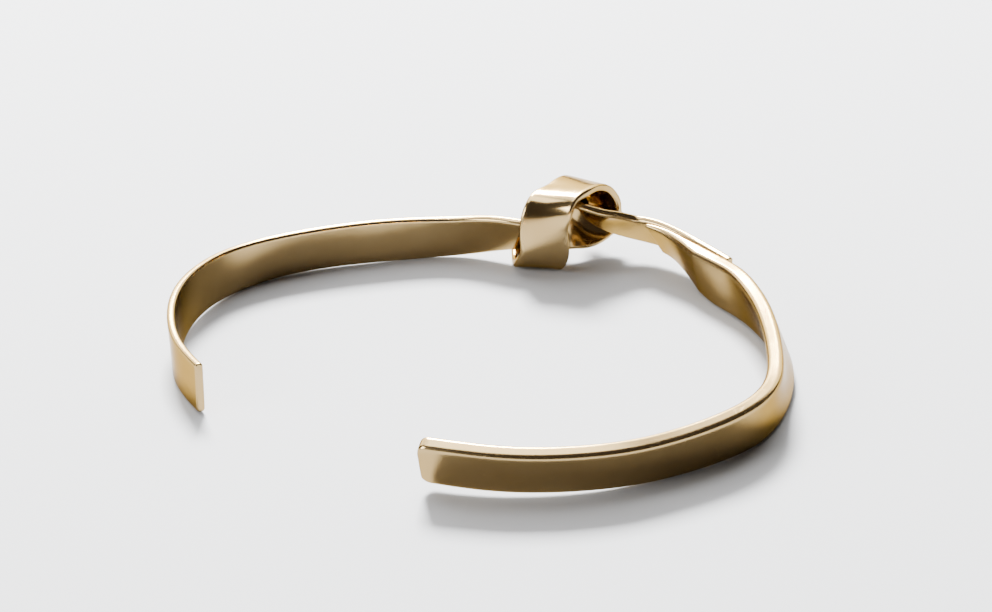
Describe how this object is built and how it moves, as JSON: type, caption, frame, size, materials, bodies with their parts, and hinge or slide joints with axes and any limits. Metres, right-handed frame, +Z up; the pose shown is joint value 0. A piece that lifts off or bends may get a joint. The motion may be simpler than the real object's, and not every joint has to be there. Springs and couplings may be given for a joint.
{
  "type": "cuff bracelet",
  "caption": "Open cuff bracelet of polished flat metal strip set on edge, with a loose overhand knot at the back.",
  "frame": {"origin": "middle of the bounding box, on the surface that the cuff stands on", "axes": "+Z up off the surface, +Y towards the knot at the back, +X to the right seen from the open front"},
  "size_m": [0.0598, 0.0606, 0.0091],
  "materials": {
    "polished_gold_metal": "polished"
  },
  "bodies": {
    "root": {"knotted_cuff_band": "polished_gold_metal"}
  },
  "joints": []
}
